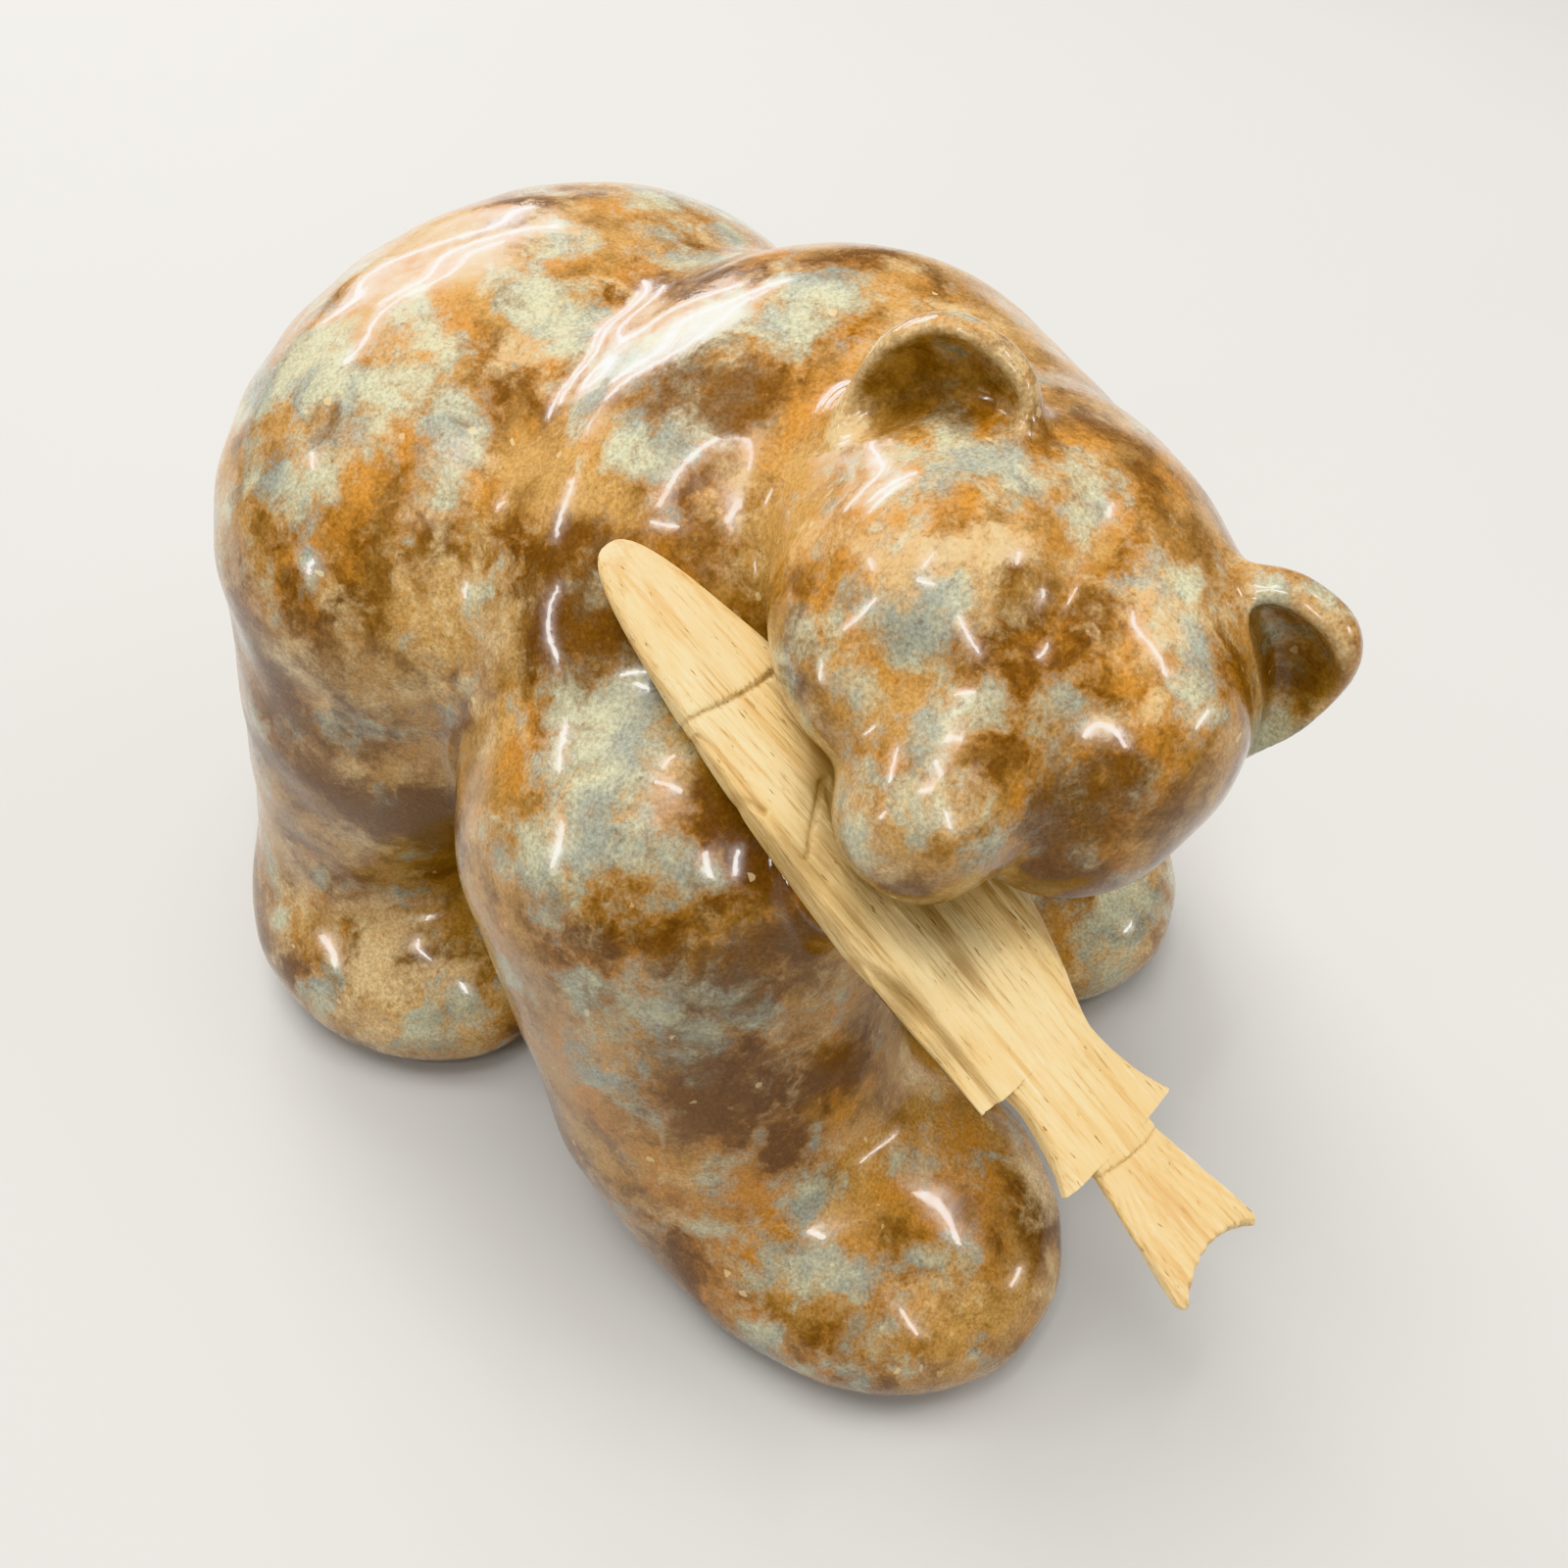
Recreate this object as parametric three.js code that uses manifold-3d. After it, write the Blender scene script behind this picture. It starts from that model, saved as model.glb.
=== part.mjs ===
// A standing bear carved from one block of soapstone, its head turned to its right with a
// fish of bone held across its mouth. Millimetres, +Z up, the bear walks towards -Y.
// The stone is one smooth body: plain masses (egg shapes and tapered rods) are blended into
// one distance field, and a net of quads is drawn over the surface where the field is zero.
import * as THREE from 'three';
import { mergeVertices } from 'three/addons/utils/BufferGeometryUtils.js';
import Module from 'manifold-3d';

const wasm = await Module();
wasm.setup();
const { Manifold, Mesh: SolidMesh } = wasm;

// ---- driving dimensions ----

// Egg-shaped masses of the trunk: centre, half sizes, and how softly each one joins.
const TRUNK = [
  { centre: [0, 30, 75], half: [47.5, 36, 31], blend: 0 },
  { centre: [0, 2, 57], half: [34, 36, 30], blend: 16 },
  { centre: [-2, -2.5, 72], half: [38, 26.5, 35.5], blend: 10 },
];
// Each leg is a tapered rod from a joint in the trunk to the ankle, and an egg-shaped foot.
const HIND_LEG = {
  top: [25, 32.5, 54], topRadius: 25,
  ankle: [34.5, 42.5, 19.5], ankleRadius: 17,
  foot: [40.5, 31.5, 9], footHalf: [20.5, 26.5, 15.5],
  footBlend: 14, bodyBlend: 10,
};
const FORE_LEG = {
  top: [28.5, -17, 59.5], topRadius: 28,
  ankle: [36, -26, 24.5], ankleRadius: 23,
  foot: [36, -49.5, 9], footHalf: [24.5, 29.5, 15],
  footBlend: 24, bodyBlend: 9,
};
// How far each leg's ankle and foot are moved from where its pair stands. The left forefoot is
// set further in and further back than the right one.
const STANCE = {
  fore: { right: { ankle: [0, 0, 0], foot: [0, 0, 0] }, left: { ankle: [-5, 5, 0], foot: [-11, 15.5, 0] } },
  hind: { right: { ankle: [0, 0, 0], foot: [0, 0, 0] }, left: { ankle: [0, 3, 0], foot: [0, 6, 0] } },
};

const NECK = { start: [11, -11.5, 77], startRadius: 34, end: [-1.6, 11, -5], endRadius: 21.7, blend: 12 };

// The head has a frame of its own: -Y out along the nose, +X to the bear's left, +Z up.
const HEAD = { centre: [-5.7, -46.1, 92.3], yaw: 75.5, pitch: -3.5, roll: 27 };
const HEAD_BLEND = 8;
const SKULL = { centre: [0, 2, 0], half: [27.6, 23.7, 20.6] };
const CHEEK = { centre: [10, -4.6, -1], half: [16, 22.2, 12], blend: 6 };
const BROW = { centre: [10.4, -10, 8], half: [12.9, 13, 11], blend: 7 };
const MUZZLE = { start: [0, -13.5, -3.7], startRadius: 13, end: [0, -25.3, -2.1], endRadius: 9.9, blend: 6 };
const JAW = { start: [0, -6, -12], startRadius: 12, end: [0, -24, -19.7], endRadius: 8, blend: 6 };
// An ear is a thick upright egg with a cup hollowed into its front.
const EAR = { centre: [21.3, 4.7, 10.2], half: [10, 6.3, 12.4] };
const EAR_CUP = { shift: [0, -7, -0.8], half: [8.2, 9.2, 10.2] };

// The fish is a flat blade: head, two pairs of fins that end in steps, and a flared tail.
const FISH_LENGTH = 99;
const FISH_HALF_WIDTH = 9.4;
const FISH_HALF_THICKNESS = 3.2;
const FISH_TAIL_HALF_THICKNESS = 1.3;
const FISH_WIDEST = 0.5;
const FISH_SNOUT_BLUNTNESS = 0.38;
const FISH_HEAD_END = [-41.8, -2.4];
const FISH_SWING = -16;
const FISH_DROOP = 15;
const TAIL_ROOT = 0.84;
const TAIL_ROOT_HALF_WIDTH = 4.4;
const TAIL_HALF_WIDTH = 7;
const TAIL_NOTCH = 2.6;
// Fins: side of the blade, where along it the fin starts and ends, how far it stands out, and
// whether it ends in a step or dies away again.
const FINS = [
  { side: -1, from: 0.5, to: 0.705, reach: 3.4, stepped: true },
  { side: -1, from: 0.71, to: 0.826, reach: 4.1, stepped: true },
  { side: 1, from: 0.4, to: 0.72, reach: 1.8, stepped: false },
  { side: 1, from: 0.7, to: 0.83, reach: 4.2, stepped: true },
];
// The blade's net: sides round it, stations along it, and how short a fin's end step is.
const FISH_SIDES = 14;
const FISH_STATIONS = 30;
const SNOUT_STATIONS = [0.004, 0.014];
const STEP_SHARE = 0.006;
// Its section is a superellipse, sharper at the edges than an ellipse; these are its powers.
const EDGE_POWER = 0.8;
const FACE_POWER = 0.6;
// Shares of the length over which the snout grows to full thickness and the tail thins.
const SNOUT_SHARE = 0.16;
const THINNING = { from: 0.4, to: 0.95 };
const FIN_SWEEP = 1.5;
// The mouth is cut this much wider than the fish all round.
const GRIP_GAP = 0.3;

// Grid lines of the net: close together over the head, wider apart over the rest.
const GRID = {
  x: { from: -74, to: 74, fineFrom: -50, fineTo: 24 },
  y: { from: -94, to: 84, fineFrom: -82, fineTo: -14 },
  z: { from: -18, to: 130, fineFrom: 70, fineTo: 118 },
};
const FINE_STEP = 4.5;
const COARSE_STEP = 6.2;
const EGG_SIDES = 24;
const FLOOR_BLOCK = 400;

// The point on the floor under the middle of the carving, which becomes its origin.
const ORIGIN = [0, -14.9, 0];

const STONE = { color: 0x9c7444, roughness: 0.22, metalness: 0 };
const BONE = { color: 0xdcbf86, roughness: 0.4, metalness: 0 };

// ---- distance fields ----

const minus = (a, b) => [a[0] - b[0], a[1] - b[1], a[2] - b[2]];
const dot = (a, b) => a[0] * b[0] + a[1] * b[1] + a[2] * b[2];
const mirrored = (v, side) => [v[0] * side, v[1], v[2]];
const shifted = (a, b) => [a[0] + b[0], a[1] + b[1], a[2] + b[2]];

// A length too small to matter, which keeps a division from ending at zero.
const TINY = 1e-6;

// Joins two fields with a fillet about as wide as blend: the cubic smooth minimum.
function join(a, b, blend) {
  if (blend === 0) return Math.min(a, b);
  const h = Math.max(blend - Math.abs(a - b), 0) / blend;
  return Math.min(a, b) - h * h * h * blend / 6;
}

function egg(p, centre, half) {
  const q = minus(p, centre);
  const near = Math.hypot(q[0] / half[0], q[1] / half[1], q[2] / half[2]);
  const slope = Math.hypot(q[0] / half[0] ** 2, q[1] / half[1] ** 2, q[2] / half[2] ** 2);
  return near * (near - 1) / Math.max(slope, TINY);
}

// A rod with round ends whose radius changes evenly from one end to the other.
function taperedRod(p, start, end, startRadius, endRadius) {
  const axis = minus(end, start);
  const length2 = dot(axis, axis);
  const taper = startRadius - endRadius;
  const flat2 = length2 - taper * taper;
  const fromStart = minus(p, start);
  const along = dot(fromStart, axis);
  const beyond = along - length2;
  const across = fromStart.map((value, i) => value * length2 - axis[i] * along);
  const across2 = dot(across, across);
  const along2 = along * along * length2;
  const beyond2 = beyond * beyond * length2;
  const limit = Math.sign(taper) * taper * taper * across2;
  if (Math.sign(beyond) * flat2 * beyond2 > limit) {
    return Math.sqrt(across2 + beyond2) / length2 - endRadius;
  }
  if (Math.sign(along) * flat2 * along2 < limit) {
    return Math.sqrt(across2 + along2) / length2 - startRadius;
  }
  return (Math.sqrt(across2 * flat2 / length2) + along * taper) / length2 - startRadius;
}

// ---- the bear's masses ----

function legField(p, leg, side, stance) {
  const ankle = mirrored(shifted(leg.ankle, stance.ankle), side);
  const foot = mirrored(shifted(leg.foot, stance.foot), side);
  const rod = taperedRod(p, mirrored(leg.top, side), ankle, leg.topRadius, leg.ankleRadius);
  return join(rod, egg(p, foot, leg.footHalf), leg.footBlend);
}

function bodyField(p) {
  let d = Infinity;
  for (const mass of TRUNK) d = join(d, egg(p, mass.centre, mass.half), mass.blend);
  for (const [side, hand] of [[-1, 'right'], [1, 'left']]) {
    d = join(d, legField(p, HIND_LEG, side, STANCE.hind[hand]), HIND_LEG.bodyBlend);
    d = join(d, legField(p, FORE_LEG, side, STANCE.fore[hand]), FORE_LEG.bodyBlend);
  }
  return d;
}

const radians = THREE.MathUtils.degToRad;
const headFrame = new THREE.Matrix4().makeTranslation(...HEAD.centre)
  .multiply(new THREE.Matrix4().makeRotationZ(-radians(HEAD.yaw)))
  .multiply(new THREE.Matrix4().makeRotationX(radians(HEAD.pitch)))
  .multiply(new THREE.Matrix4().makeRotationY(radians(HEAD.roll)));
const worldToHead = headFrame.clone().invert();
const neckEnd = new THREE.Vector3(...NECK.end).applyMatrix4(headFrame).toArray();

function headField(p) {
  const q = new THREE.Vector3(...p).applyMatrix4(worldToHead).toArray();
  let d = egg(q, SKULL.centre, SKULL.half);
  d = join(d, taperedRod(q, MUZZLE.start, MUZZLE.end, MUZZLE.startRadius, MUZZLE.endRadius), MUZZLE.blend);
  for (const side of [-1, 1]) {
    d = join(d, egg(q, mirrored(CHEEK.centre, side), CHEEK.half), CHEEK.blend);
    d = join(d, egg(q, mirrored(BROW.centre, side), BROW.half), BROW.blend);
  }
  d = join(d, taperedRod(q, JAW.start, JAW.end, JAW.startRadius, JAW.endRadius), JAW.blend);
  return d;
}

function stoneField(p) {
  const neck = taperedRod(p, NECK.start, neckEnd, NECK.startRadius, NECK.endRadius);
  return join(join(bodyField(p), neck, NECK.blend), headField(p), HEAD_BLEND);
}

// ---- the net over the zero surface ----

function gridLines({ from, to, fineFrom, fineTo }) {
  const lines = [from];
  while (lines.at(-1) < to) {
    const last = lines.at(-1);
    const fine = last >= fineFrom && last < fineTo;
    lines.push(last + (fine ? FINE_STEP : COARSE_STEP));
  }
  return lines;
}

function gradient(field, p) {
  const step = 0.05;
  return [0, 1, 2].map((axis) => {
    const ahead = [...p];
    const behind = [...p];
    ahead[axis] += step;
    behind[axis] -= step;
    return (field(ahead) - field(behind)) / (2 * step);
  });
}

// Slides a point along the field's slope until it lies on the surface.
function settle(field, start) {
  const rounds = 4;
  let p = start;
  for (let i = 0; i < rounds; i += 1) {
    const slope = gradient(field, p);
    const move = field(p) / Math.max(dot(slope, slope), TINY);
    p = p.map((value, axis) => value - move * slope[axis]);
  }
  return p;
}

// One vertex in every grid cell that the surface crosses, and one quad round every grid edge
// that it crosses.
function netOver(field, grid) {
  const lines = [gridLines(grid.x), gridLines(grid.y), gridLines(grid.z)];
  const [nx, ny, nz] = lines.map((axis) => axis.length);
  const index = (i, j, k) => (k * ny + j) * nx + i;
  const value = new Float64Array(nx * ny * nz);
  const pointAt = (i, j, k) => [lines[0][i], lines[1][j], lines[2][k]];
  for (let k = 0; k < nz; k += 1) {
    for (let j = 0; j < ny; j += 1) {
      for (let i = 0; i < nx; i += 1) value[index(i, j, k)] = field(pointAt(i, j, k));
    }
  }
  const units = [[1, 0, 0], [0, 1, 0], [0, 0, 1]];
  const positions = [];
  const vertexOf = new Map();

  function cellVertex(i, j, k) {
    const sum = [0, 0, 0];
    let crossings = 0;
    for (const [axis, unit] of units.entries()) {
      const [u, v] = units.filter((_, other) => other !== axis);
      for (const [a, b] of [[0, 0], [1, 0], [0, 1], [1, 1]]) {
        const low = [0, 1, 2].map((n) => [i, j, k][n] + a * u[n] + b * v[n]);
        const high = shifted(low, unit);
        const lowValue = value[index(...low)];
        const highValue = value[index(...high)];
        if ((lowValue < 0) === (highValue < 0)) continue;
        const share = lowValue / (lowValue - highValue);
        const ends = [pointAt(...low), pointAt(...high)];
        for (let n = 0; n < 3; n += 1) sum[n] += ends[0][n] + share * (ends[1][n] - ends[0][n]);
        crossings += 1;
      }
    }
    positions.push(...settle(field, sum.map((total) => total / crossings)));
    return positions.length / 3 - 1;
  }

  function vertex(i, j, k) {
    const key = index(i, j, k);
    if (!vertexOf.has(key)) vertexOf.set(key, cellVertex(i, j, k));
    return vertexOf.get(key);
  }

  const triangles = [];
  for (let k = 1; k < nz - 1; k += 1) {
    for (let j = 1; j < ny - 1; j += 1) {
      for (let i = 1; i < nx - 1; i += 1) {
        const here = value[index(i, j, k)] < 0;
        for (const [axis, unit] of units.entries()) {
          if (here === value[index(i + unit[0], j + unit[1], k + unit[2])] < 0) continue;
          const u = units[(axis + 1) % 3];
          const v = units[(axis + 2) % 3];
          const ring = [[0, 0], [1, 0], [1, 1], [0, 1]].map(([a, b]) => vertex(
            i - a * u[0] - b * v[0],
            j - a * u[1] - b * v[1],
            k - a * u[2] - b * v[2],
          ));
          if (!here) ring.reverse();
          triangles.push(ring[0], ring[1], ring[2], ring[0], ring[2], ring[3]);
        }
      }
    }
  }
  return geometryFrom(positions, triangles);
}

function geometryFrom(positions, triangles) {
  const geometry = new THREE.BufferGeometry();
  geometry.setAttribute('position', new THREE.Float32BufferAttribute(positions, 3));
  geometry.setIndex(triangles);
  return geometry;
}

// ---- the fish ----

// How far the blade reaches to one side of its middle line, s running 0 to 1 along it.
function fishReach(s, side) {
  const snout = FISH_HALF_WIDTH * Math.min(s / FISH_WIDEST, 1) ** FISH_SNOUT_BLUNTNESS;
  const waist = THREE.MathUtils.smoothstep(s, FISH_WIDEST, TAIL_ROOT);
  let reach = THREE.MathUtils.lerp(snout, TAIL_ROOT_HALF_WIDTH, waist);
  for (const fin of FINS) {
    const share = (s - fin.from) / (fin.to - fin.from);
    if (fin.side !== side || share <= 0 || share > 1) continue;
    reach += fin.reach * (fin.stepped ? share ** FIN_SWEEP : Math.sin(share * Math.PI));
  }
  return reach + (TAIL_HALF_WIDTH - TAIL_ROOT_HALF_WIDTH) * tailFlare(s);
}

const tailFlare = (s) => Math.max((s - TAIL_ROOT) / (1 - TAIL_ROOT), 0);

function fishGeometry(grow) {
  const stations = [...SNOUT_STATIONS];
  for (let i = 1; i <= FISH_STATIONS; i += 1) stations.push(i / FISH_STATIONS);
  for (const fin of FINS) if (fin.stepped) stations.push(fin.to, fin.to + STEP_SHARE);
  stations.sort((a, b) => a - b);
  const rounded = (value, power) => Math.sign(value) * Math.abs(value) ** power;
  const positions = [-grow, 0, 0];
  for (const s of stations) {
    const snout = Math.min(s / SNOUT_SHARE, 1);
    const nose = Math.sqrt(snout * (2 - snout));
    const thin = THREE.MathUtils.smoothstep(s, THINNING.from, THINNING.to);
    const thickness = nose * THREE.MathUtils.lerp(FISH_HALF_THICKNESS, FISH_TAIL_HALF_THICKNESS, thin);
    for (let i = 0; i < FISH_SIDES; i += 1) {
      const turn = 2 * Math.PI * i / FISH_SIDES;
      const width = rounded(Math.cos(turn), EDGE_POWER);
      const reach = fishReach(s, Math.sign(width) || 1) + grow;
      const notch = TAIL_NOTCH * tailFlare(s) * (1 - width * width);
      const along = s * (FISH_LENGTH + grow) - notch;
      const height = rounded(Math.sin(turn), FACE_POWER);
      positions.push(along, width * reach, height * (thickness + grow));
    }
  }
  positions.push(FISH_LENGTH + grow - TAIL_NOTCH, 0, 0);
  const triangles = [];
  const ringStart = (ring) => 1 + ring * FISH_SIDES;
  const last = ringStart(stations.length);
  for (let i = 0; i < FISH_SIDES; i += 1) {
    const next = (i + 1) % FISH_SIDES;
    triangles.push(0, next + 1, i + 1);
    triangles.push(last, last - FISH_SIDES + i, last - FISH_SIDES + next);
    for (let ring = 0; ring < stations.length - 1; ring += 1) {
      const a = ringStart(ring);
      const b = ringStart(ring + 1);
      triangles.push(a + i, a + next, b + next, a + i, b + next, b + i);
    }
  }
  return geometryFrom(positions, triangles);
}

// The blade lies under the muzzle, swung about the head's upright and drooping forward.
const fishFrame = headFrame.clone()
  .multiply(new THREE.Matrix4().makeTranslation(...MUZZLE.end))
  .multiply(new THREE.Matrix4().makeRotationX(radians(FISH_DROOP)))
  .multiply(new THREE.Matrix4().makeTranslation(0, 0, -MUZZLE.endRadius - FISH_HALF_THICKNESS))
  .multiply(new THREE.Matrix4().makeRotationZ(radians(FISH_SWING)))
  .multiply(new THREE.Matrix4().makeTranslation(FISH_HEAD_END[0], FISH_HEAD_END[1], 0));

// ---- solids ----

function solidOf(geometry) {
  return new Manifold(new SolidMesh({
    numProp: 3,
    vertProperties: new Float32Array(geometry.attributes.position.array),
    triVerts: new Uint32Array(geometry.index.array),
  }));
}

function blockBelowFloor() {
  const block = new THREE.BoxGeometry(FLOOR_BLOCK, FLOOR_BLOCK, FLOOR_BLOCK).toNonIndexed();
  block.translate(0, 0, -FLOOR_BLOCK / 2);
  block.deleteAttribute('normal');
  block.deleteAttribute('uv');
  return solidOf(mergeVertices(block));
}

// An egg-shaped solid in the head's frame.
function eggSolid(centre, half) {
  const egg = new THREE.SphereGeometry(1, EGG_SIDES, EGG_SIDES / 2);
  egg.scale(...half);
  egg.translate(...centre);
  egg.deleteAttribute('normal');
  egg.deleteAttribute('uv');
  return solidOf(mergeVertices(egg.applyMatrix4(headFrame)));
}

function earSolid(side) {
  const centre = mirrored(EAR.centre, side);
  const cup = shifted(centre, mirrored(EAR_CUP.shift, side));
  return eggSolid(centre, EAR.half).subtract(eggSolid(cup, EAR_CUP.half));
}

function bearGeometry() {
  const mouth = solidOf(fishGeometry(GRIP_GAP).applyMatrix4(fishFrame));
  const stone = solidOf(netOver(stoneField, GRID))
    .add(earSolid(-1))
    .add(earSolid(1))
    .subtract(blockBelowFloor())
    .subtract(mouth);
  const { vertProperties, triVerts } = stone.getMesh();
  return geometryFrom(vertProperties, Array.from(triVerts));
}

function piece(name, geometry, finish) {
  geometry.computeVertexNormals();
  const mesh = new THREE.Mesh(geometry, new THREE.MeshStandardMaterial(finish));
  mesh.name = name;
  return mesh;
}

const carving = new THREE.Group();
carving.add(piece('bear', bearGeometry(), STONE));
const fish = piece('fish', fishGeometry(0), BONE);
fish.applyMatrix4(fishFrame);
carving.add(fish);
carving.position.set(...ORIGIN.map((value) => -value));

export default carving;
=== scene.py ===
"""A standing bear of polished soapstone that holds a fish of carved bone across its mouth.

The stone is one closed surface. Its masses are egg shapes and tapered rods, blended into one
field of distances that is worked out over a whole grid at once, and a net of quads is drawn
where that field is zero. The fish is a blade worked out over a grid of stations and turns.
Shapes are in millimetres, as they are in the part's own frame, and meshes are in metres.
"""

import math
from functools import partial
from typing import NamedTuple

import bpy
import numpy as np
from bpy.props import FloatProperty, FloatVectorProperty, PointerProperty
from mathutils import Matrix, Vector


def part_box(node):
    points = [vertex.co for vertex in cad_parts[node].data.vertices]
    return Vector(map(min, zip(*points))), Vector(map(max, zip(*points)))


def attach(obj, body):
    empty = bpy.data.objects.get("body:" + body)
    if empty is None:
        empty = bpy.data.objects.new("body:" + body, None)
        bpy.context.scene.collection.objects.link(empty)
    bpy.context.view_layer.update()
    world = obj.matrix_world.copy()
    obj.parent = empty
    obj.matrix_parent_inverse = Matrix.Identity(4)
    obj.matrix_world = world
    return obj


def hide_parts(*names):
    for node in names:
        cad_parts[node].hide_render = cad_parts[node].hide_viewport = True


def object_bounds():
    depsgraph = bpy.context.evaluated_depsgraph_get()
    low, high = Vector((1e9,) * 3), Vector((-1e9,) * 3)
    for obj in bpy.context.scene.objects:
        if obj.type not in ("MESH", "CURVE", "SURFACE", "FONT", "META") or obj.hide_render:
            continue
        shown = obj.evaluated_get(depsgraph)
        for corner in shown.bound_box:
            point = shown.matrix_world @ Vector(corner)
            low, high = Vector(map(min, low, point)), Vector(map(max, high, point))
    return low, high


bl_info = {
    "name": "Soapstone bear carving",
    "version": (1, 0, 0),
    "blender": (4, 5, 0),
    "location": "3D View > Sidebar > Carving",
    "description": "A polished soapstone bear with a bone fish held across its mouth",
    "category": "Add Mesh",
}

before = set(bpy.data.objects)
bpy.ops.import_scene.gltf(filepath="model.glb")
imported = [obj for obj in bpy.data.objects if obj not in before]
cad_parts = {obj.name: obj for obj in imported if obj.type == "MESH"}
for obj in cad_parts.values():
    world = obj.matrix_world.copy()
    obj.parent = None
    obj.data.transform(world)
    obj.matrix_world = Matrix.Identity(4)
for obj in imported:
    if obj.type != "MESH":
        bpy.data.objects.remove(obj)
CAD_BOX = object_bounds()

MM = 0.001
# A length too small to matter, which keeps a division from ending at zero.
TINY = 1e-9
# The point on the floor under the middle of the carving, where the part has its origin.
ORIGIN = np.array((0.0, -14.9, 0.0))


# ---- masses ----


class Egg(NamedTuple):
    """An egg-shaped mass: centre, half sizes, the width of the fillet that joins it on, and
    the power of its outline, which is 2 for an ellipse and more for a squarer shape."""

    centre: tuple
    half: tuple
    blend: float = 0.0
    power: float = 2.0

    def field(self, points):
        """How far outside the egg each point is: (n - 1) over the slope of n, where n, a mean
        by that power, is how many times further out than the egg's surface the point lies."""
        across = np.abs(points - np.array(self.centre)) / self.half
        near = np.maximum((across**self.power).sum(-1) ** (1 / self.power), TINY)
        slope = np.linalg.norm(across ** (self.power - 1) / self.half, axis=-1)
        return (near - 1) * near ** (self.power - 1) / np.maximum(slope, TINY)

    def moved(self, offset=(0, 0, 0), side=1):
        """The same egg shifted by an offset, and mirrored left to right if side is -1."""
        return self._replace(centre=mirrored(self.centre, offset, side))


class Rod(NamedTuple):
    """A tapered rod with round ends: start and end points and radii, and its fillet's width."""

    start: tuple
    start_radius: float
    end: tuple
    end_radius: float
    blend: float = 0.0

    def field(self, points):
        """Distance to the cone that touches both end balls, or to the ball beyond its end."""
        axis = np.subtract(self.end, self.start).astype(float)
        length = np.linalg.norm(axis)
        lean = (self.start_radius - self.end_radius) / length
        upright = math.sqrt(1 - lean * lean)
        from_start = points - np.array(self.start)
        along = from_start @ (axis / length)
        across = np.sqrt(np.maximum((from_start**2).sum(-1) - along**2, 0))
        foot = upright * along - lean * across
        cone = upright * across + lean * along - self.start_radius
        ball = np.hypot(across, along) - self.start_radius
        far_ball = np.hypot(across, along - length) - self.end_radius
        return np.where(foot < 0, ball, np.where(foot > upright * length, far_ball, cone))


def mirrored(point, offset=(0, 0, 0), side=1):
    """A point shifted by an offset, then mirrored left to right if side is -1."""
    return tuple(np.add(point, offset) * (side, 1, 1))


RIGHT, LEFT = -1, 1

TRUNK = (
    Egg((0, 30, 75), (47.5, 36, 31)),
    Egg((0, 2, 57), (34, 36, 30), 16),
    Egg((-2, -2.5, 72), (38, 26.5, 35.5), 10),
)
HIND_LEG = Rod((25, 32.5, 54), 25, (34.5, 42.5, 19.5), 17, 10)
HIND_FOOT = Egg((40.5, 31.5, 9), (20.5, 26.5, 15.5), 14)
FORE_LEG = Rod((28.5, -17, 59.5), 28, (36, -26, 24.5), 23, 9)
FORE_FOOT = Egg((36, -49.5, 9), (24.5, 29.5, 15), 24)
# Each limb: leg, foot, side, and how far its ankle and its foot stand from their pair's place.
LIMBS = (
    (HIND_LEG, HIND_FOOT, RIGHT, (0, 0, 0), (0, 0, 0)),
    (HIND_LEG, HIND_FOOT, LEFT, (0, 3, 0), (0, 6, 0)),
    (FORE_LEG, FORE_FOOT, RIGHT, (0, 0, 0), (0, 0, 0)),
    (FORE_LEG, FORE_FOOT, LEFT, (-5, 5, 0), (-11, 15.5, 0)),
)
NECK = Rod((11, -11.5, 77), 34, (-1.6, 11, -5), 21.7, 12)

# The head has a frame of its own: -Y out along the nose, +X to the bear's left, +Z up.
HEAD_CENTRE = (-5.7, -46.1, 92.3)
HEAD_YAW, HEAD_PITCH, HEAD_ROLL = math.radians(75.5), math.radians(-3.5), math.radians(27)
HEAD_BLEND = 8
SKULL = Egg((0, 2, 0), (27.6, 23.7, 20.6))
CHEEK = Egg((10, -4.6, -1), (16, 22.2, 12), 6)
BROW = Egg((10.4, -9, 7.5), (12.9, 13, 11), 8)
BRIDGE = Rod((-1, -7, 6), 12, (-0.5, -20.5, 2), 9.6, 6)
# The muzzle's left side runs back into the cheek with a shallow valley, not a notch.
MUZZLE_SIDE = Rod((6, -10, 4), 10, (4.4, -18, 2), 7.6, 5)
MUZZLE = Rod((0, -13.5, -3.7), 12.4, (-0.2, -24, -2.4), 8.9)
NOSE = Egg((-0.4, -25, -2.3), (8.6, 9.9, 9.2), 3, 2.4)
JAW = Rod((0, -6, -12), 12, (0, -24, -19.7), 8, 6)
# A soft fold beside the left brow, cut where this thin rod dips into the forehead.
BROW_FOLD = Rod((-2.6, -3, 23.4), 3.4, (-1.6, -16.5, 18.6), 2.2, 5)
# Each ear and the shape that hollows its front: the left ear runs further down the cheek.
EARS = {
    RIGHT: (
        Egg((20.8, 5.2, 12), (9.3, 4.4, 11.6), power=2.4),
        Egg((20.8, 1.6, 11.9), (8.8, 4.8, 11.1), power=2.3),
    ),
    LEFT: (
        Egg((20.6, 5.2, 9.6), (9.8, 4.4, 13.4), power=2.4),
        Egg((20.6, 1.6, 8.4), (9, 4.8, 12.6), power=2.3),
    ),
}

FISH_LENGTH = 99
FISH_HALF_WIDTH = 9.4
FISH_HALF_THICKNESS = 3.2
FISH_TAIL_HALF_THICKNESS = 1.6
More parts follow.
